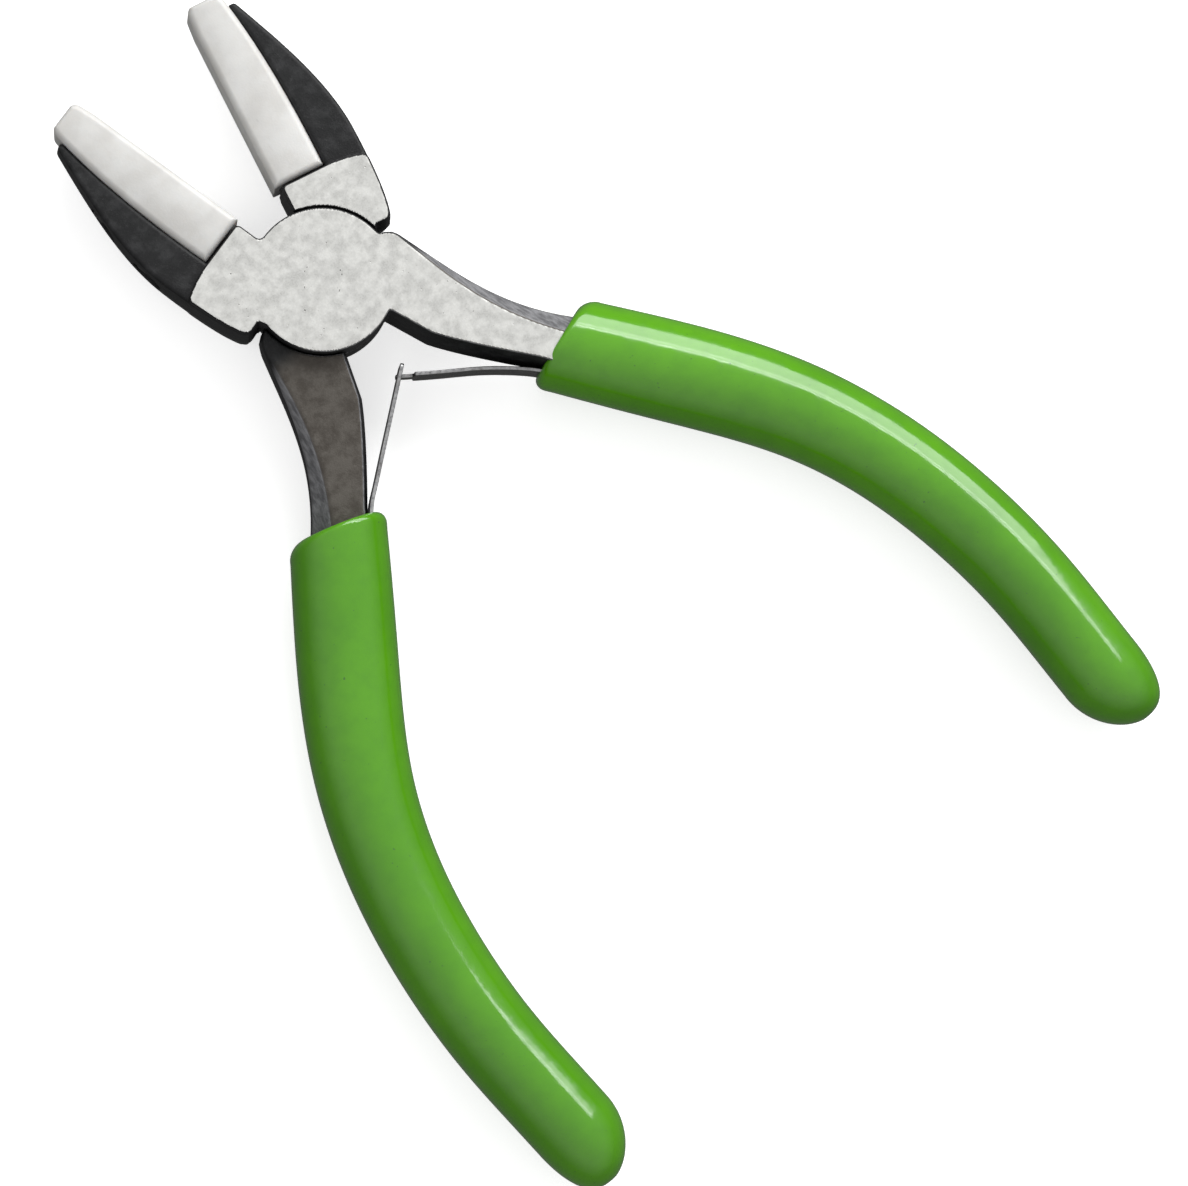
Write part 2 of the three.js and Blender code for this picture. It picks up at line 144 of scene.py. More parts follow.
# Radii of the rounded edges and inside corners.
ROUND = {
    "jaw": 0.3, "shoulder": 0.5, "flank": 0.45, "tang_under": 0.25, "tang_top": 0.2, "tang_low": 0.3,
    "disc_to_jaw": 0.7, "disc_to_tang": 0.3, "ground_face": 0.16, "jaw_to_boss": 0.2, "cut": 0.12,
    "pad_tip": 0.8, "pad": 0.7, "pad_hole": 0.1, "screw_head": 0.2, "screw_tip": 0.3, "cross": 0.08,
    "rivet": 0.02, "blade": 0.3, "tongue": 0.35, "tongue_root": 0.25, "slotted_tip": 0.45, "slot": 0.3,
    "leaf": 0.09,
}

# Where each field is meshed: its lowest and highest corners, and the grid's pitch.
FORGING_GRID = ((-11.6, -27.6, -0.5), (15.8, 32.2, 10.1), 0.2)
PAD_GRID = ((-6.6, 10.6, 0.0), (0.6, 33.8, 9.6), 0.17)
SCREW_PITCH = 0.1
RIVET_PITCH = 0.15
LEAF_PITCH = 0.09
SETTLE_STEPS = 3
SLOPE_STEP = 0.02
LEAST_SLOPE = 0.2  # squared: it keeps a point from jumping where the field is flat

SPLINE_SAMPLES = 4000
HANDLE_SAMPLES = 2000
LEAF_SAMPLES = 400
WIDTH_SAMPLES = 400


# ---- Curves and fields ----------------------------------------------------------------------------------

def mix(a, b, t):
    return a + (b - a) * t


def smoothstep(low, high, x):
    t = np.clip((x - low) / (high - low), 0, 1)
    return t * t * (3 - 2 * t)


def bezier(start, first, second, end, count=24):
    """Points along a cubic curve, without its first point."""
    t = np.linspace(0, 1, count + 1)[1:, None]
    start, first, second, end = (np.array(p, float) for p in (start, first, second, end))
    return (1 - t) ** 3 * start + 3 * t * (1 - t) ** 2 * first + 3 * t**2 * (1 - t) * second + t**3 * end


def spline(points, count):
    """Evenly spaced points and tangents along a natural cubic spline through the given points."""
    points = np.array(points, float)
    knots = np.concatenate([[0], np.cumsum(np.linalg.norm(np.diff(points, axis=0), axis=1))])
    step = np.diff(knots)
    system = np.eye(len(points))
    right = np.zeros_like(points)
    for i in range(1, len(points) - 1):
        system[i, i - 1 : i + 2] = step[i - 1], 2 * (step[i - 1] + step[i]), step[i]
        right[i] = 6 * ((points[i + 1] - points[i]) / step[i] - (points[i] - points[i - 1]) / step[i - 1])
    bend = np.linalg.solve(system, right)

    def at(where):
        i = np.clip(np.searchsorted(knots, where) - 1, 0, len(step) - 1)
        h, a, b = step[i][:, None], (knots[i + 1] - where)[:, None], (where - knots[i])[:, None]
        return (
            (bend[i] * a**3 + bend[i + 1] * b**3) / (6 * h)
            + (points[i] / h - bend[i] * h / 6) * a
            + (points[i + 1] / h - bend[i + 1] * h / 6) * b
        )

    fine = at(np.linspace(0, knots[-1], SPLINE_SAMPLES))
    travelled = np.concatenate([[0], np.cumsum(np.linalg.norm(np.diff(fine, axis=0), axis=1))])
    share = np.linspace(0, travelled[-1], count)
    even = np.stack([np.interp(share, travelled, fine[:, k]) for k in range(2)], 1)
    tangents = np.gradient(even, axis=0)
    return even, tangents / np.linalg.norm(tangents, axis=1, keepdims=True), travelled[-1]


def outline_distance(outline, x, y):
    """Signed distance in XY to a closed outline, negative inside."""
    x, y = np.broadcast_arrays(np.asarray(x, float), np.asarray(y, float))
    nearest = np.full(x.shape, np.inf)
    inside = np.zeros(x.shape, bool)
    ends = np.roll(outline, -1, axis=0)
    for (ax, ay), (bx, by) in zip(outline, ends):
        ex, ey = bx - ax, by - ay
        px, py = x - ax, y - ay
        t = np.clip((px * ex + py * ey) / (ex * ex + ey * ey), 0, 1)
        nearest = np.minimum(nearest, (px - t * ex) ** 2 + (py - t * ey) ** 2)
        if ey != 0:
            inside ^= ((ay > y) != (by > y)) & (px < ex * py / ey)
    return np.where(inside, -1, 1) * np.sqrt(nearest)


def round_and(a, b, radius):
    """Where both fields hold, with the edge between them rounded."""
    corner = np.hypot(np.maximum(a + radius, 0), np.maximum(b + radius, 0))
    return np.minimum(np.maximum(a, b), -radius) + corner


def round_or(a, b, radius):
    """Where either field holds, with the inside corner between them rounded."""
    return -round_and(-a, -b, radius)


# ---- Meshes ---------------------------------------------------------------------------------------------

def mesh_field(field, low, high, pitch):
    """Points, quads and normals of the surface where field(x, y, z) is zero."""
    axes = [np.arange(a, b + pitch, pitch) for a, b in zip(low, high)]
    grids = np.meshgrid(*axes, indexing="ij", sparse=True)
    values = np.broadcast_to(field(*grids), [len(a) for a in axes])
    inside = values < 0
    cells = [n - 1 for n in values.shape]
    count = np.zeros(cells)
    total = np.zeros([3, *cells])
    crossings = []
    for axis in range(3):
        lower = [slice(None)] * 3
        upper = [slice(None)] * 3
        lower[axis], upper[axis] = slice(None, -1), slice(1, None)
        a, b = values[tuple(lower)], values[tuple(upper)]
        crosses = inside[tuple(lower)] != inside[tuple(upper)]
        share = np.where(crosses, a / np.where(crosses, a - b, 1), 0)
        crossings.append((crosses, inside[tuple(lower)]))
        others = [k for k in range(3) if k != axis]
        for first in (0, 1):
            for second in (0, 1):
                part = [slice(None)] * 3
                part[others[0]] = slice(first, cells[others[0]] + first)
                part[others[1]] = slice(second, cells[others[1]] + second)
                here = crosses[tuple(part)]
                count += here
                total[axis] += share[tuple(part)]
                total[others[0]] += here * first
                total[others[1]] += here * second
    used = count > 0
    number = np.full(cells, -1)
    number[used] = np.arange(used.sum())
    corner = np.argwhere(used)
    points = np.array(low) + pitch * (corner + (total[:, used] / count[used]).T)
    quads = []
    for axis, (crosses, starts_inside) in enumerate(crossings):
        u, v = (axis + 1) % 3, (axis + 2) % 3
        at = np.argwhere(crosses)
        keep = (at[:, u] > 0) & (at[:, v] > 0) & (at[:, u] < cells[u]) & (at[:, v] < cells[v])
        at = at[keep]
        outward = starts_inside[tuple(at.T)]
        ring = []
        for du, dv in ((1, 1), (0, 1), (0, 0), (1, 0)):
            cell = at.copy()
            cell[:, u] -= du
            cell[:, v] -= dv
            ring.append(number[tuple(cell.T)])
        quad = np.stack(ring, 1)
        quads.append(np.where(outward[:, None], quad, quad[:, ::-1]))
    quads = np.concatenate(quads)

    def slope(p):
        steps = []
        for k in range(3):
            offset = np.zeros(3)
            offset[k] = SLOPE_STEP
            steps.append((field(*(p + offset).T) - field(*(p - offset).T)) / (2 * SLOPE_STEP))
        return np.stack(steps, 1)

    # Each point moves along the field's slope, at most half a cell at a time.
    for _ in range(SETTLE_STEPS):
        g = slope(points)
        move = field(*points.T)[:, None] * g / np.maximum((g * g).sum(1, keepdims=True), LEAST_SLOPE)
        length = np.linalg.norm(move, axis=1, keepdims=True)
        points = points - move * np.minimum(1, 0.5 * pitch / np.maximum(length, 1e-9))
    g = slope(points)
    return points, quads, g / np.maximum(np.linalg.norm(g, axis=1, keepdims=True), 1e-9)


def loft(rings):
    """Points and quads of a skin over rings of points, each counter-clockwise seen from the last ring."""
    rings = np.array(rings)
    rows, count = rings.shape[:2]
    index = np.arange(rows * count).reshape(rows, count)
    a, b = index[:-1], np.roll(index, -1, axis=1)[:-1]
    c, d = np.roll(index, -1, axis=1)[1:], index[1:]
    quads = np.stack([a, b, c, d], -1).reshape(-1, 4)
    return rings.reshape(-1, 3), quads


def turn(points, side):
    """Directions of a closed half, turned to where that half lies open."""
    x, y, z = points[:, 0], points[:, 1], points[:, 2]
    angle = HALF_OPENING
    if side == "back":
        x, z, angle = -x, -z, -HALF_OPENING
    turned_x = x * math.cos(angle) - y * math.sin(angle)
    turned_y = x * math.sin(angle) + y * math.cos(angle)
    return np.stack([turned_x, turned_y, z], 1)


def to_frame(points, side):
    """Points of a closed half as metres in the frame, with the half open. The back half is turned over."""
    placed = turn(points, side)
    if side == "back":
        placed[:, 2] += THICKNESS
    return placed * MM


def add_mesh(name, points, faces, normals=None):
    mesh = bpy.data.meshes.new(name)
    mesh.from_pydata(points.tolist(), [], [list(f) for f in faces])
    mesh.validate()
    mesh.polygons.foreach_set("use_smooth", [True] * len(mesh.polygons))
    if normals is not None:
        mesh.normals_split_custom_set_from_vertices(normals.tolist())
    piece = bpy.data.objects.new(name, mesh)
    bpy.context.scene.collection.objects.link(piece)
    return piece


def finish_piece(piece, material, slot, *nodes):
    piece.data.materials.append(material)
    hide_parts(*nodes)


# ---- The forged half ------------------------------------------------------------------------------------

def jaw_back():
    """The jaw's back at mid height, from its tip round to the shoulder that stops on the other tang."""
    tip = np.array([[JAW_TIP_BACK_X, JAW_TIP_Y]])
    upper = bezier(tip[0], (-7.9, 25.8), (-10.75, 19.4), (-10.85, 13.2))
    lower = bezier(upper[-1], (-10.9, 9.8), (-10.8, 5.6), (-10.15, 3.3))
    return np.concatenate([tip, upper, lower, [[-9.7, 2.55], [-9.1, 2.35], [-8.0, 2.4]]])


def seat_line():
    """The pad's seat, from its heel to the steel's tip."""
    heel = (SEAT_HEEL_X, SHOULDER_Y)
    curve = bezier(heel, (-6.0, 18.0), (-5.7, 25.0), (SEAT_TIP_X, JAW_TIP_Y), 12)
    return np.concatenate([[heel], curve])


JAW_OUTLINE = np.concatenate([
    [[JAW_INNER_X, 4.0], [JAW_INNER_X, SHOULDER_Y]],
    seat_line(),
    jaw_back(),
    [[-4.0, 2.0]],
])
BOSS_OUTLINE = np.concatenate([
    [[JAW_INNER_X, 4.0], [JAW_INNER_X, BOSS_END_Y]],
    [point for point in jaw_back() if point[1] < BOSS_END_Y],
    [[-4.0, 2.0]],
])
# The outlines that bound a wall on one side only are closed far away from the piece.
BEHIND_JAW = np.concatenate([
    [[JAW_TIP_BACK_X, 45.0]],
    jaw_back(),
    [[-7.0, 0.0], [-30.0, 0.0], [-30.0, 45.0]],
])
TANG_ROOT = np.array([[0.3, -5.0], [5.0, 0.4]])
TANG_ROOT_SLOPE = (TANG_ROOT[1, 1] - TANG_ROOT[0, 1]) / (TANG_ROOT[1, 0] - TANG_ROOT[0, 0])
TANG_INNER = np.concatenate([
    [TANG_ROOT[0], [1.0, -8.1], [1.65, -12.9]],
    bezier((1.65, -12.9), (2.45, -15.4), (4.4, -19.6), (6.5, -23.8), 16),
    [[8.3, -28.5]],
])
TANG_OUTER = np.concatenate([
    [TANG_ROOT[1], [8.3, -1.98], [8.9, -2.7], [9.12, -3.5]],
    bezier((9.12, -3.5), (9.6, -10.5), (9.3, -16.5), (13.4, -23.8), 24),
    [[15.3, -28.0]],
])
FLAT_OUTER = np.concatenate([
    [TANG_ROOT[1], [8.25, -2.08], [8.75, -3.3]],
    bezier((8.75, -3.2), (8.6, -9.5), (7.7, -15.5), (11.3, -24.5), 24),
    [[13.0, -29.0]],
])
INSIDE_OF_TANG = np.concatenate([TANG_INNER, [[-40.0, -28.5], [-40.0, -5.0]]])
PAST_ROOT = TANG_ROOT[1] + 50.0 * np.array([1, TANG_ROOT_SLOPE])
OUTSIDE_OF_TANG = np.concatenate([TANG_OUTER, [[PAST_ROOT[0], -28.0], PAST_ROOT]])
OUTSIDE_OF_FLAT = np.concatenate([FLAT_OUTER, [[PAST_ROOT[0], -29.0], PAST_ROOT]])


def screw_holes(x, y, z):
    """The counterbores for the pad screws in the jaw's back, and their clearance holes."""
    holes = np.inf
    for screw_y in SCREWS_Y:
        r = np.hypot(y - screw_y, z - MIDDLE)
        counterbore = np.maximum(r - COUNTERBORE_RADIUS, x - screw_seat(screw_y))
        hole = np.maximum(r - SCREW_HOLE_RADIUS, x - SCREW_HOLE_END_X)
        holes = np.minimum(holes, np.minimum(counterbore, hole))
    return holes


def screw_seat(screw_y):
    """Where a screw's head seats: a head's length and a little below the jaw's back."""
    back = jaw_back()
    order = np.argsort(back[:, 1])
    return np.interp(screw_y, back[order, 1], back[order, 0]) + SCREW_SEAT_DEPTH


def forging_field(x, y, z):
    """Jaw, joint disc and tang in one, with a round pocket for the other half's disc."""
    lift = np.abs(z - MIDDLE)
    disc = np.hypot(x, y) - DISC_RADIUS
    # The jaw's back is drafted from its parting plane, and its seat and inner side are machined straight.
    back_wall = -outline_distance(BEHIND_JAW, x, y) + JAW_DRAFT * lift
    jaw_wall = round_and(outline_distance(JAW_OUTLINE, x, y), back_wall, ROUND["jaw"])
    curl = SHOULDER_CURL * np.maximum(-x - SHOULDER_CURL_FROM, 0) ** 2
    shoulder = y - SHOULDER_Y + SHOULDER_SET_BACK + curl
    boss_wall = round_and(outline_distance(BOSS_OUTLINE, x, y), back_wall, ROUND["jaw"])
    boss = round_and(boss_wall, shoulder, ROUND["shoulder"])
    flank = mix(FLANK_HEEL, FLANK_TIP, (y - SHOULDER_Y) / (JAW_TIP_Y - SHOULDER_Y))
    arm = round_and(jaw_wall, lift - flank, ROUND["flank"])
    # The tang has a steep inner wall, and a chamfer that widens down its outer side.
    inner_wall = -outline_distance(INSIDE_OF_TANG, x, y) + TANG_INNER_DRAFT * lift
    outer_wall = -outline_distance(OUTSIDE_OF_TANG, x, y) + TANG_OUTER_DRAFT * lift
    beyond_flat = -outline_distance(OUTSIDE_OF_FLAT, x, y)
    slant = 1 / math.hypot(1, CHAMFER_SLOPE)
    top_chamfer = (CHAMFER_SLOPE * beyond_flat + z - THICKNESS) * slant
    low_chamfer = (CHAMFER_SLOPE * beyond_flat + TANG_UNDERSIDE - z) * slant
    above_root = y - TANG_ROOT[0, 1] - TANG_ROOT_SLOPE * (x - TANG_ROOT[0, 0])
    tang = np.maximum(np.maximum(inner_wall, outer_wall), above_root / math.hypot(1, TANG_ROOT_SLOPE))
    tang = round_and(tang, TANG_UNDERSIDE - z, ROUND["tang_under"])
    tang = round_and(tang, top_chamfer, ROUND["tang_top"])
    tang = round_and(tang, low_chamfer, ROUND["tang_low"])
    tang = np.maximum(tang, STUB_END_Y - y)
    plan = round_or(np.maximum(disc, MIDDLE - z), boss, ROUND["disc_to_jaw"])
    plan = round_or(plan, tang, ROUND["disc_to_tang"])
    full = round_and(plan, lift - MIDDLE, ROUND["ground_face"])
    body = round_or(full, arm, ROUND["jaw_to_boss"])
    pocket = np.maximum(np.hypot(x, y) - POCKET_RADIUS, z - DISC_FLOOR)
    body = round_and(body, -pocket, ROUND["cut"])
    return round_and(body, -screw_holes(x, y, z), ROUND["cut"])


def pad_outline():
    """The pad's outline: along its seat, round its tip, and back down its working face."""
    back = seat_line() + [PAD_SEAT_GAP, 0]
    back[0, 1] = PAD_HEEL_Y
    tip = bezier(back[-1], (-4.4, 32.3), (-4.3, 32.6), (-3.9, PAD_TIP_Y), 6)
    face = [[-0.6, PAD_TIP_Y], [-0.22, 32.2], [PAD_FACE_X, 30.2], [PAD_FACE_X, PAD_HEEL_Y]]
    return np.concatenate([back, tip, face])


PAD_OUTLINE = pad_outline()


def pad_field(x, y, z):
    """A nylon pad: its top and underside are slightly crowned and draw together towards the tip."""
    plan = outline_distance(PAD_OUTLINE, x, y)
    plan = round_and(plan, y - PAD_TIP_Y, ROUND["pad_tip"])
    along = (y - SHOULDER_Y) / (PAD_TIP_Y - SHOULDER_Y)
    crown = PAD_CROWN * ((x + PAD_HALF_DEPTH) / PAD_HALF_DEPTH) ** 2
    height = mix(PAD_HALF_HEIGHT_HEEL, PAD_HALF_HEIGHT_TIP, along) - crown
    pad = round_and(plan, np.abs(z - MIDDLE) - height, ROUND["pad"])
    return round_and(pad, -screw_holes(x, y, z), ROUND["pad_hole"])


def screw_field(screw_y):
    """A field for one pad screw, along X with its cross-slotted head towards -X."""
    seat = screw_seat(screw_y)
    face = seat - SCREW_HEAD_LENGTH

    def field(x, y, z):
        across, up = y - screw_y, z - MIDDLE
        r = np.hypot(across, up)
        dome = face + SCREW_HEAD_DOME * r**2 - x
        head = np.maximum(r - SCREW_HEAD_RADIUS, x - seat + SCREW_SEAT_GAP)
        head = round_and(head, dome, ROUND["screw_head"])
        shank = round_and(r - SCREW_SHANK_RADIUS, x - SCREW_TIP_X, ROUND["screw_tip"])
        shank = np.maximum(shank, seat - SCREW_SHANK_IN_HEAD - x)
        taper = CROSS_TAPER * (x - face)

        def arm(narrow, wide):
            side = np.abs(narrow) - CROSS_HALF_WIDTH + taper
            return np.maximum(side, np.abs(wide) - CROSS_HALF_LENGTH + 2 * taper)

        cross = np.minimum(arm(across, up), arm(up, across))
        cross = np.maximum(cross, x - face - CROSS_DEPTH)
        return round_and(np.minimum(head, shank), -cross, ROUND["cross"])

    return field


def add_pair(name, skin, material, slot, node):
    """The same piece on both halves: skin is its points, faces and normals."""
    points, faces, normals = skin
    for side in BODY:
        piece = add_mesh(f"{side}_{name}", to_frame(points, side), faces, turn(normals, side))
        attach(piece, BODY[side])
        finish_piece(piece, material, slot, f"{side}_{node}")


def add_forgings(material):
    skin = mesh_field(forging_field, *FORGING_GRID)
    add_pair("half_steel", skin, material, "forged_steel", "half_forging")


def add_pads(material):
    skin = mesh_field(pad_field, *PAD_GRID)
    add_pair("nylon_face", skin, material, "nylon", "nylon_pad")


def add_screws(material):
    for number, screw_y in enumerate(SCREWS_Y, 1):
        low = (screw_seat(screw_y) - 1.8, screw_y - 2.0, MIDDLE - 2.0)
        high = (-2.3, screw_y + 2.0, MIDDLE + 2.0)
        skin = mesh_field(screw_field(screw_y), low, high, SCREW_PITCH)
        add_pair(f"cross_screw_{number}", skin, material, "blackened_steel", f"pad_screw_{number}")


def rivet_field(x, y, z):
    """The joint rivet, hammered and ground flush: its ends stand a hair above the joint faces."""
    end = np.abs(z - MIDDLE) - MIDDLE - RIVET_PROUD
    return round_and(np.hypot(x, y) - RIVET_RADIUS, end, ROUND["rivet"])


def add_rivet(material):
    reach = RIVET_RADIUS + 0.4
    low, high = (-reach, -reach, -0.4), (reach, reach, 10.0)
    points, quads, normals = mesh_field(rivet_field, low, high, RIVET_PITCH)
    piece = add_mesh("ground_rivet", points * MM, quads, normals)
    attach(piece, "back_half")
    finish_piece(piece, material, "forged_steel", "joint_rivet")


# ---- Dipped sleeves -------------------------------------------------------------------------------------

SLEEVE_SEGMENTS = 96
SLEEVE_STATIONS = 150
MOUTH_DEPTHS = (3.0, 0.15)  # of the two rings that hug the tang inside the mouth
LIP_RINGS = 9
FIRST_STATION = 2.2
MOUTH_BLEND = 10.0  # over this length the rings turn from the mouth's plane to square across the handle
NOSE_LENGTH = 7.0
NOSE_BLUNTNESS_INNER = 1.75
NOSE_BLUNTNESS_OUTER = 2.7
NOSE_LEAN = 0.5
LIP_SIDE = 1.6
LIP_TOP = 0.62
# Where the tang fills the mouth: its section beside the mouth's centre, across and up.
TANG_SECTION = np.array([
    (-3.1, -1.8), (-2.3, -2.5), (1.3, -2.5), (3.1, -0.6), (3.1, 2.8), (1.3, 4.7), (-2.5, 4.7), (-3.0, 3.9),
])


def section_reach(angles):
    """How far the tang's section reaches from the mouth's centre in each direction."""
    ways = np.stack([np.cos(angles), np.sin(angles)], 1)
    reach = np.full(len(angles), np.inf)
    for start, end in zip(TANG_SECTION, np.roll(TANG_SECTION, -1, axis=0)):
        outward = np.array([end[1] - start[1], start[0] - end[0]])
        facing = ways @ outward
        hit = (start @ outward) / np.where(facing > 1e-9, facing, 1)
        reach = np.where(facing > 1e-9, np.minimum(reach, hit), reach)
    return reach


def sleeve_rings():
    """Rings of the sleeve from inside its mouth, over its lip and down to its nose, and the nose's end."""
    angles = np.linspace(0, 2 * math.pi, SLEEVE_SEGMENTS, endpoint=False)
    sideways = np.cos(angles) ** 2
    inner, outer = np.array(SLEEVE_MOUTH_INNER), np.array(SLEEVE_MOUTH_OUTER)
    across = outer - inner
    half_width = np.linalg.norm(across) / 2
    across = across / (2 * half_width)
    outward = np.array([-across[1], across[0]])
    centre = (inner + outer) / 2
    line, tangents, length = spline((centre, *SLEEVE_LINE), HANDLE_SAMPLES)
    inward = tangents[0] / -(tangents[0] @ outward)

    def mouth_ring(reach_side, reach_up, depth):
        flat = centre + np.outer(reach_side, across) + np.outer(depth * np.ones(SLEEVE_SEGMENTS), inward)
        return np.column_stack([flat, MIDDLE + reach_up])

    rings = []
    hug = section_reach(angles)
    for depth in MOUTH_DEPTHS:
        rings.append(mouth_ring(hug * np.cos(angles), hug * np.sin(angles), depth))
    lip = mix(LIP_TOP, LIP_SIDE, sideways)
    for bend in np.linspace(0, math.pi / 2, LIP_RINGS):
        shrink = lip * (1 - math.sin(bend))
        depth = lip * (1 - math.cos(bend))
        side = (half_width - shrink) * np.cos(angles)
        up = (SLEEVE_HALF_HEIGHT - shrink) * np.sin(angles)
        rings.append(mouth_ring(side, up, depth))
    # Stations crowd towards the nose, where the section changes fastest.
    spread = np.sin(np.linspace(0, math.pi / 2, SLEEVE_STATIONS))
    stations = FIRST_STATION + (length - FIRST_STATION) * spread
    width_at = np.linspace(0, length, len(SLEEVE_HALF_WIDTHS))
    widths = np.stack([width_at, SLEEVE_HALF_WIDTHS], 1)
    smooth_widths = spline(widths, WIDTH_SAMPLES)[0]
    travelled = np.linspace(0, length, len(line))
    bluntness = mix(NOSE_BLUNTNESS_INNER, NOSE_BLUNTNESS_OUTER, (1 + np.cos(angles)) / 2)
    for station in stations[:-1]:
        at = np.array([np.interp(station, travelled, line[:, k]) for k in range(2)])
        along = np.array([np.interp(station, travelled, tangents[:, k]) for k in range(2)])
        along = along / np.linalg.norm(along)
        square = np.array([-along[1], along[0]])
        outwards = mix(across, square, smoothstep(0, MOUTH_BLEND, station))
        outwards = outwards / (outwards @ square)
        nose = min((length - station) / NOSE_LENGTH, 1)
        scale = (1 - (1 - nose) ** 2) ** (1 / bluntness)
        half = np.interp(station, smooth_widths[:, 0], smooth_widths[:, 1]) * scale
        lean = NOSE_LEAN * (1 - nose) ** 2
        side = half * np.cos(angles) + lean
        flat = at + np.outer(side, outwards)
        rings.append(np.column_stack([flat, MIDDLE + SLEEVE_HALF_HEIGHT * scale * np.sin(angles)]))
    return rings, line[-1]


def add_sleeve(side, material):
    rings, tip = sleeve_rings()
    points, quads = loft(rings)
    count = SLEEVE_SEGMENTS
    last = len(points) - count
    points = np.vstack([points, [[tip[0], tip[1], MIDDLE]], [rings[0].mean(0)]])
    faces = quads.tolist()
    faces += [[last + k, last + (k + 1) % count, len(points) - 2] for k in range(count)]
    faces += [[(k + 1) % count, k, len(points) - 1] for k in range(count)]
    piece = add_mesh(f"{side}_dipped_sleeve", to_frame(points, side), faces)
    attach(piece, BODY[side])
    finish_piece(piece, material, "green_vinyl", f"{side}_handle_sleeve")


# ---- Leaf springs ---------------------------------------------------------------------------------------

LEAF_DIRECTION = np.array([math.cos(LEAF_ANGLE), math.sin(LEAF_ANGLE)])
FOOT_LENGTH = 4.0
FOOT_DIRECTION = np.array([-0.45, 0.893])
FRONT_BOW = 0.3
BOW_SHARES = ((1.5, 0.5), (4.5, 1.0), (9.0, 0.45), (LEAF_TO_CROSSING, 0.0))  # distance from the root, share
TONGUE_SHOULDER = 1.5  # the front blade's full width ends this far before the crossing
TONGUE_HALF_WIDTH = 0.95
TONGUE_BEYOND = 0.45
SLOT_HALF_WIDTH = 1.3
SLOT_HALF_LENGTH = 0.75
SLOTTED_BEYOND = 1.35


def leaf_line(side):
    """The leaf's centre line, from inside the sleeve to its tip. The front blade bows towards its tang."""
    bow = FRONT_BOW if side == "front" else 0.0
    sideways = np.array([LEAF_DIRECTION[1], -LEAF_DIRECTION[0]])
    points = [LEAF_ROOT - FOOT_LENGTH * FOOT_DIRECTION, LEAF_ROOT]
    for distance, share in BOW_SHARES:
        points.append(LEAF_ROOT + distance * LEAF_DIRECTION + bow * share * sideways)
    points.append(LEAF_ROOT + (LEAF_TO_CROSSING + 2.0) * LEAF_DIRECTION)
    return spline(points, LEAF_SAMPLES)


def leaf_field(side):
    """The leaf laid flat: x along it from the root, y across its thickness, z up."""
    shoulder = LEAF_TO_CROSSING - TONGUE_SHOULDER

    def field(x, y, z):
        up = np.abs(z - MIDDLE)
        if side == "front":
            blade = round_and(up - LEAF_HALF_WIDTH, x - shoulder, ROUND["blade"])
            tongue_end = x - LEAF_TO_CROSSING - TONGUE_BEYOND
            tongue = round_and(up - TONGUE_HALF_WIDTH, tongue_end, ROUND["tongue"])
            plan = round_or(blade, tongue, ROUND["tongue_root"])
        else:
            tip = x - LEAF_TO_CROSSING - SLOTTED_BEYOND
            plan = round_and(up - LEAF_HALF_WIDTH, tip, ROUND["slotted_tip"])
            slot_end = np.abs(x - LEAF_TO_CROSSING) - SLOT_HALF_LENGTH
            slot = round_and(up - SLOT_HALF_WIDTH, slot_end, ROUND["slot"])
            plan = np.maximum(plan, -slot)
        plan = np.maximum(plan, -FOOT_LENGTH - x)
        return round_and(plan, np.abs(y) - LEAF_THICKNESS / 2, ROUND["leaf"])

    return field


def add_leaf(side, material):
    low = (-FOOT_LENGTH - 0.3, -0.5, MIDDLE - 2.9)
    high = (LEAF_TO_CROSSING + 1.9, 0.5, MIDDLE + 2.9)
    points, quads, normals = mesh_field(leaf_field(side), low, high, LEAF_PITCH)
    line, tangents, length = leaf_line(side)
    travelled = np.linspace(-FOOT_LENGTH, length - FOOT_LENGTH, len(line))

    def along(values, where):
        return np.stack([np.interp(where, travelled, values[:, k]) for k in range(2)], 1)

    tangent = along(tangents, points[:, 0])
    sideways = np.stack([-tangent[:, 1], tangent[:, 0]], 1)
    flat = along(line, points[:, 0]) + sideways * points[:, 1:2]
    bent = np.column_stack([flat, points[:, 2]])
    bent_normals = np.column_stack([tangent * normals[:, :1] + sideways * normals[:, 1:2], normals[:, 2]])
    piece = add_mesh(f"{side}_spring_leaf", to_frame(bent, side), quads, turn(bent_normals, side))
    finish_piece(piece, material, "spring_steel", f"{side}_leaf_spring")
    far_end = LEAF_ROOT + 2 * LEAF_TO_CROSSING * LEAF_DIRECTION
    ends = np.array([[*LEAF_ROOT, MIDDLE], [*far_end, MIDDLE]])
    start, end = to_frame(ends, side)
    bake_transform(piece)


# ---- Materials ------------------------------------------------------------------------------------------

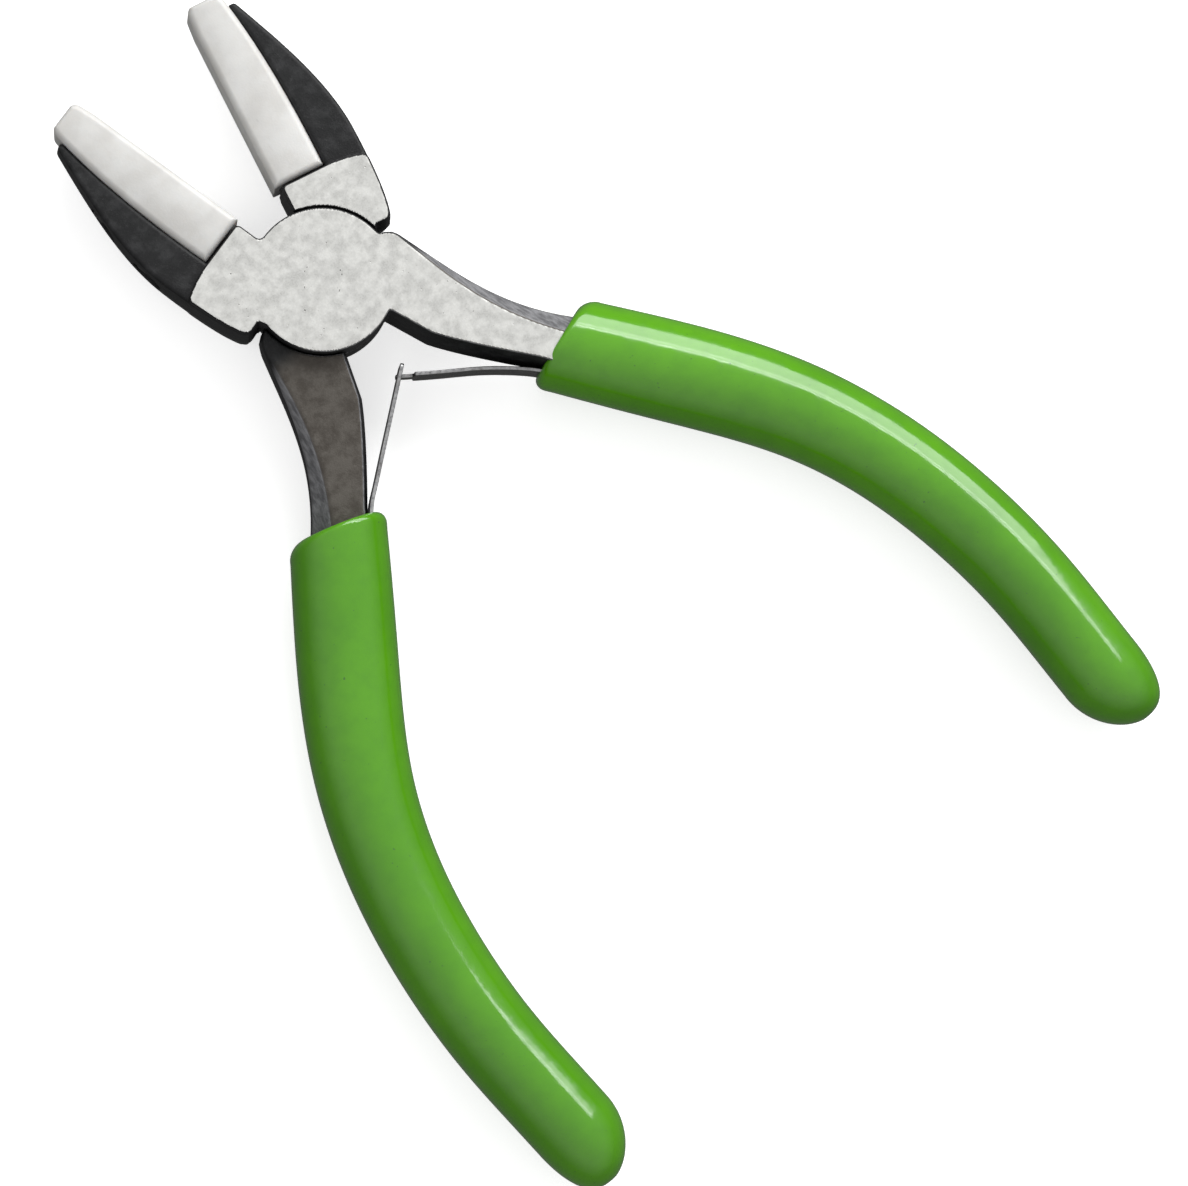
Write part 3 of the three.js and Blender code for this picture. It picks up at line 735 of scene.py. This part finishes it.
class Finish:
    """A material's node tree, with short calls for the nodes that the finishes below share."""

    def __init__(self, name):
        self.material = bpy.data.materials.new(name)
        self.material.use_nodes = True
        self.tree = self.material.node_tree
        self.shader = self.tree.nodes["Principled BSDF"]
        coordinates = self.tree.nodes.new("ShaderNodeTexCoord")
        self.place = coordinates.outputs["Object"]
        self.facing = coordinates.outputs["Normal"]

    def feed(self, socket, value):
        if isinstance(value, bpy.types.NodeSocket):
            self.tree.links.new(value, socket)
        else:
            socket.default_value = value

    def node(self, kind, inputs, **settings):
        node = self.tree.nodes.new("ShaderNode" + kind)
        for name, value in settings.items():
            setattr(node, name, value)
        for name, value in inputs.items():
            self.feed(node.inputs[name], value)
        return node

    def math(self, operation, a, b=0.0):
        return self.node("Math", {0: a, 1: b}, operation=operation).outputs[0]

    def stretched(self, scale, angle=0.0):
        """Object coordinates, turned about Z and scaled unevenly."""
        inputs = {"Vector": self.place, "Scale": scale, "Rotation": (0.0, 0.0, angle)}
        return self.node("Mapping", inputs).outputs[0]

    def noise(self, scale, detail=3.0, roughness=0.55, where=None):
        inputs = {
            "Vector": self.place if where is None else where,
            "Scale": scale,
            "Detail": detail,
            "Roughness": roughness,
        }
        return self.node("TexNoise", inputs).outputs[0]

    def spread(self, value, low, high, to_low=0.0, to_high=1.0):
        """value, from low to high, eased and mapped to another range."""
        inputs = {"Value": value, 1: low, 2: high, 3: to_low, 4: to_high}
        return self.node("MapRange", inputs, interpolation_type="SMOOTHSTEP").outputs[0]

    def blend(self, share, a, b):
        mixer = self.node("Mix", {0: share, 6: a, 7: b}, data_type="RGBA")
        return mixer.outputs[2]

    def blend_value(self, share, a, b):
        return self.node("Mix", {0: share, 2: a, 3: b}, data_type="FLOAT").outputs[0]

    def axis(self, vector, which):
        return self.node("SeparateXYZ", {0: vector}).outputs[which]

    def bump(self, height, distance):
        inputs = {"Height": height, "Distance": distance, "Strength": 1.0}
        return self.node("Bump", inputs).outputs[0]

    def done(self, **sockets):
        for name, value in sockets.items():
            self.feed(self.shader.inputs[name.replace("_", " ")], value)
        return self.material


def grey(value, tint=(1.0, 1.0, 1.0)):
    return (value * tint[0], value * tint[1], value * tint[2], 1.0)


def forged_steel():
    """Ground flat faces, blackened jaws and walls, filed chamfers and bare brown scale on the tangs."""
    f = Finish("forged_steel_finish")
    level = f.math("ABSOLUTE", f.math("SUBTRACT", f.axis(f.place, 2), MIDDLE * MM))
    upright = f.math("ABSOLUTE", f.axis(f.facing, 2))
    on_plane = f.spread(level, (MIDDLE - 0.035) * MM, (MIDDLE - 0.012) * MM)
    ground = f.math("MULTIPLY", on_plane, f.spread(upright, 0.90, 0.985))
    tang_side = f.spread(f.axis(f.place, 1), -0.0030, -0.0055)
    tilted = f.math("MULTIPLY", f.spread(upright, 0.28, 0.45), f.spread(upright, 0.93, 0.84))
    chamfer = f.math("MULTIPLY", tilted, tang_side)
    scale_face = f.math("MULTIPLY", f.spread(upright, 0.84, 0.93), tang_side)

    cloud = f.noise(750.0, 6.0, 0.68)
    fine = f.noise(5200.0, 3.0, 0.6)
    pits = f.spread(f.noise(2600.0, 2.0, 0.5), 0.70, 0.78)
    scratches = f.noise(2200.0, 3.0, 0.6, f.stretched((1.0, 0.14, 1.0), 0.5))
    cross = f.noise(1900.0, 3.0, 0.6, f.stretched((0.14, 1.0, 1.0), 0.2))

    bright = f.blend(f.spread(cloud, 0.36, 0.62), grey(0.63, (1, 1, 0.96)), grey(0.82, (1, 1, 0.965)))
    bright = f.blend(f.spread(fine, 0.3, 0.7), bright, grey(0.75, (1, 1, 0.965)))
    bright = f.blend(pits, bright, grey(0.2, (1, 0.97, 0.93)))

    patches = f.noise(600.0, 6.0, 0.65)
    black = f.blend(f.spread(patches, 0.42, 0.72), grey(0.010, (1, 1.03, 1.1)), grey(0.028, (1, 1.02, 1.06)))
    black = f.blend(f.spread(fine, 0.64, 0.8), black, grey(0.07))
    dark_scale, light_scale = grey(0.065, (1.14, 1.0, 0.86)), grey(0.105, (1.1, 1.0, 0.88))
    brown = f.blend(f.spread(patches, 0.35, 0.65), dark_scale, light_scale)
    filed = f.blend(f.spread(scratches, 0.3, 0.7), grey(0.12, (1, 1, 1.05)), grey(0.25, (1, 1, 1.04)))

    colour = f.blend(scale_face, black, brown)
    colour = f.blend(chamfer, colour, filed)
    colour = f.blend(ground, colour, bright)
    shine = f.blend_value(chamfer, f.blend_value(scale_face, 0.1, 0.5), 0.3)
    shine = f.blend_value(ground, shine, 0.9)
    rough = f.spread(patches, 0.3, 0.7, 0.46, 0.62)
    rough = f.blend_value(chamfer, rough, f.spread(scratches, 0.3, 0.7, 0.45, 0.58))
    rough = f.blend_value(ground, rough, f.spread(cloud, 0.3, 0.7, 0.37, 0.5))

    cast = f.math("ADD", f.math("MULTIPLY", patches, 0.6), f.math("MULTIPLY", fine, 0.25))
    grinding = f.math("ADD", f.math("MULTIPLY", scratches, 0.06), f.math("MULTIPLY", cross, 0.04))
    grinding = f.math("SUBTRACT", grinding, f.math("MULTIPLY", pits, 0.1))
    height = f.blend_value(ground, cast, grinding)
    return f.done(
        Base_Color=colour, Metallic=shine, Roughness=rough, Specular_IOR_Level=0.3,
        Normal=f.bump(height, 0.12 * MM),
    )


def blackened_steel():
    f = Finish("blackened_screw_finish")
    patches = f.noise(1800.0, 5.0, 0.6)
    colour = f.blend(f.spread(patches, 0.4, 0.7), grey(0.02), grey(0.09))
    rough = f.spread(patches, 0.3, 0.7, 0.34, 0.5)
    return f.done(Base_Color=colour, Metallic=0.7, Roughness=rough, Normal=f.bump(patches, 0.02 * MM))


def spring_steel():
    f = Finish("spring_leaf_finish")
    streaks = f.noise(2600.0, 3.0, 0.6, f.stretched((1.0, 1.0, 9.0)))
    stains = f.noise(700.0, 4.0, 0.6)
    colour = f.blend(f.spread(streaks, 0.3, 0.7), grey(0.3, (1, 1, 1.03)), grey(0.5))
    colour = f.blend(f.spread(stains, 0.5, 0.8), colour, grey(0.16, (1.05, 1, 0.95)))
    # The blade's edges, the faces turned up or down, get the lighter streaked grey and its sides the dark
    # grey: the lighter edge is a painted highlight.
    painted_edge_highlight = f.spread(f.math("ABSOLUTE", f.axis(f.facing, 2)), 0.3, 0.8)
    rolled = f.blend(f.spread(stains, 0.35, 0.7), grey(0.035), grey(0.1, (1.02, 1, 0.97)))
    colour = f.blend(painted_edge_highlight, rolled, colour)
    rough = f.spread(streaks, 0.3, 0.7, 0.26, 0.42)
    return f.done(Base_Color=colour, Metallic=0.95, Roughness=rough, Normal=f.bump(streaks, 0.01 * MM))


def nylon():
    f = Finish("nylon_pad_finish")
    cloud = f.noise(220.0, 4.0, 0.55)
    grain = f.noise(4200.0, 3.0, 0.6)
    scuffs = f.spread(f.noise(1300.0, 4.0, 0.7, f.stretched((1.0, 0.2, 1.0), 0.3)), 0.66, 0.76)
    colour = f.blend(f.spread(cloud, 0.35, 0.65), grey(0.58, (1, 0.985, 0.95)), grey(0.66, (1, 0.995, 0.97)))
    colour = f.blend(scuffs, colour, grey(0.5, (1, 0.98, 0.94)))
    rough = f.spread(grain, 0.3, 0.7, 0.36, 0.5)
    height = f.math("ADD", f.math("MULTIPLY", grain, 0.5), f.math("MULTIPLY", cloud, 1.5))
    f.feed(f.shader.inputs["Subsurface Radius"], (1.0, 0.85, 0.7))
    return f.done(
        Base_Color=colour, Roughness=rough, Normal=f.bump(height, 0.03 * MM), IOR=1.53,
        Subsurface_Weight=0.2, Subsurface_Scale=0.8 * MM,
    )


def green_vinyl():
    f = Finish("dipped_vinyl_finish")
    drift = f.noise(45.0, 3.0, 0.5)
    mottle = f.noise(520.0, 4.0, 0.55)
    peel = f.noise(1500.0, 2.0, 0.5)
    specks = f.spread(f.noise(2300.0, 1.0, 0.4), 0.765, 0.8)
    light, deep = (0.1, 0.35, 0.008, 1.0), (0.075, 0.28, 0.006, 1.0)
    colour = f.blend(f.spread(drift, 0.3, 0.7), deep, light)
    colour = f.blend(f.spread(mottle, 0.35, 0.75, 0.0, 0.25), colour, (0.055, 0.22, 0.009, 1.0))
    colour = f.blend(specks, colour, (0.05, 0.16, 0.02, 1.0))
    rough = f.spread(mottle, 0.3, 0.7, 0.1, 0.2)
    height = f.math("ADD", f.math("MULTIPLY", peel, 0.12), f.math("MULTIPLY", f.noise(260.0, 2.0), 1.0))
    return f.done(
        Base_Color=colour, Roughness=rough, Normal=f.bump(height, 0.06 * MM), IOR=1.52,
        Coat_Weight=0.3, Coat_Roughness=0.05,
    )


# ---- Studio ---------------------------------------------------------------------------------------------

CAMERA_PLACE = Vector((-0.0720, -0.0471, 0.6050))
CAMERA_TARGET = Vector((0.0010, -0.0443, 0.0048))
CAMERA_ROLL = math.radians(40.1)
CAMERA_LENS = 170.0
SENSOR = 36.0
SKY = 0.66
SURROUND = 0.13
SURROUND_TOP = -0.1  # heights on the world's unit sphere, between which it turns from surround to sky
SKY_FROM = 0.5
LIGHT_AIM = (0.0, -0.035, 0.005)
# Area lights: place and size in metres, and power in watts.
LIGHTS = {
    "key_softbox": ((0.78, 0.36, 0.44), (1.1, 0.7), 11.0),
    "upper_strip": ((0.60, 0.12, 0.60), (0.62, 0.02), 0.5),
    "lower_strip": ((0.66, 0.13, 0.53), (0.62, 0.02), 0.4),
}
FLOOR_REACH = 3.0
FLOOR_GLOW = 0.62


def add_camera():
    camera = bpy.data.cameras.new("camera")
    camera.lens = CAMERA_LENS
    camera.sensor_width = SENSOR
    camera.clip_start = 0.01
    seat = bpy.data.objects.new("camera", camera)
    bpy.context.scene.collection.objects.link(seat)
    back = (CAMERA_PLACE - CAMERA_TARGET).normalized()
    level = Vector((math.cos(CAMERA_ROLL), -math.sin(CAMERA_ROLL), 0))
    right = (level - back * level.dot(back)).normalized()
    up = back.cross(right)
    turned = Matrix((right, up, back)).transposed()
    seat.matrix_world = Matrix.Translation(CAMERA_PLACE) @ turned.to_4x4()
    bpy.context.scene.camera = seat


def add_area(name, place, size, power):
    light = bpy.data.lights.new(name, "AREA")
    light.shape = "RECTANGLE"
    light.size, light.size_y = size
    light.energy = power
    lamp = bpy.data.objects.new(name, light)
    bpy.context.scene.collection.objects.link(lamp)
    lamp.location = place
    lamp.rotation_euler = (Vector(place) - Vector(LIGHT_AIM)).to_track_quat("Z", "Y").to_euler()


def add_studio():
    world = bpy.data.worlds.new("studio")
    world.use_nodes = True
    tree = world.node_tree
    background = tree.nodes["Background"]
    background.inputs["Strength"].default_value = 1.0
    # A pale sky over a dark surround, so that the undersides stay deep.
    direction = tree.nodes.new("ShaderNodeTexCoord").outputs["Generated"]
    height = tree.nodes.new("ShaderNodeSeparateXYZ")
    rise = tree.nodes.new("ShaderNodeMapRange")
    rise.inputs["From Min"].default_value = SURROUND_TOP
    rise.inputs["From Max"].default_value = SKY_FROM
    rise.inputs["To Min"].default_value = SURROUND
    rise.inputs["To Max"].default_value = SKY
    tree.links.new(direction, height.inputs[0])
    tree.links.new(height.outputs["Z"], rise.inputs["Value"])
    tree.links.new(rise.outputs[0], background.inputs["Color"])
    bpy.context.scene.world = world
    for name, (place, size, power) in LIGHTS.items():
        add_area(name, place, size, power)
    bpy.context.scene.view_settings.view_transform = "Standard"


def add_floor():
    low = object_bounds()[0][2]
    reach = FLOOR_REACH
    corners = [(-reach, -reach, low), (reach, -reach, low), (reach, reach, low), (-reach, reach, low)]
    floor = add_mesh("floor", np.array(corners), [(0, 1, 2, 3)])
    f = Finish("pale_floor")
    paper = f.noise(60.0, 4.0)
    colour = f.blend(f.spread(paper, 0.3, 0.7), grey(0.82), grey(0.86))
    floor.data.materials.append(
        f.done(Base_Color=colour, Roughness=0.8, Emission_Color=grey(1.0), Emission_Strength=FLOOR_GLOW)
    )
    # The floor's own glow stays off the pliers, so that their undersides keep their depth.
    floor.visible_diffuse = False
    floor.visible_glossy = False


# ---- The object -----------------------------------------------------------------------------------------

add_camera()
STEEL = forged_steel()
BLACK = blackened_steel()
SPRING = spring_steel()
NYLON = nylon()
VINYL = green_vinyl()
add_forgings(STEEL)
add_pads(NYLON)
add_screws(BLACK)
for half in BODY:
    add_sleeve(half, VINYL)
    add_leaf(half, SPRING)
    leaf_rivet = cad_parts[f"{half}_leaf_rivet"]
    leaf_rivet.data.materials.clear()
    leaf_rivet.data.materials.append(BLACK)
add_rivet(STEEL)
add_floor()
add_studio()
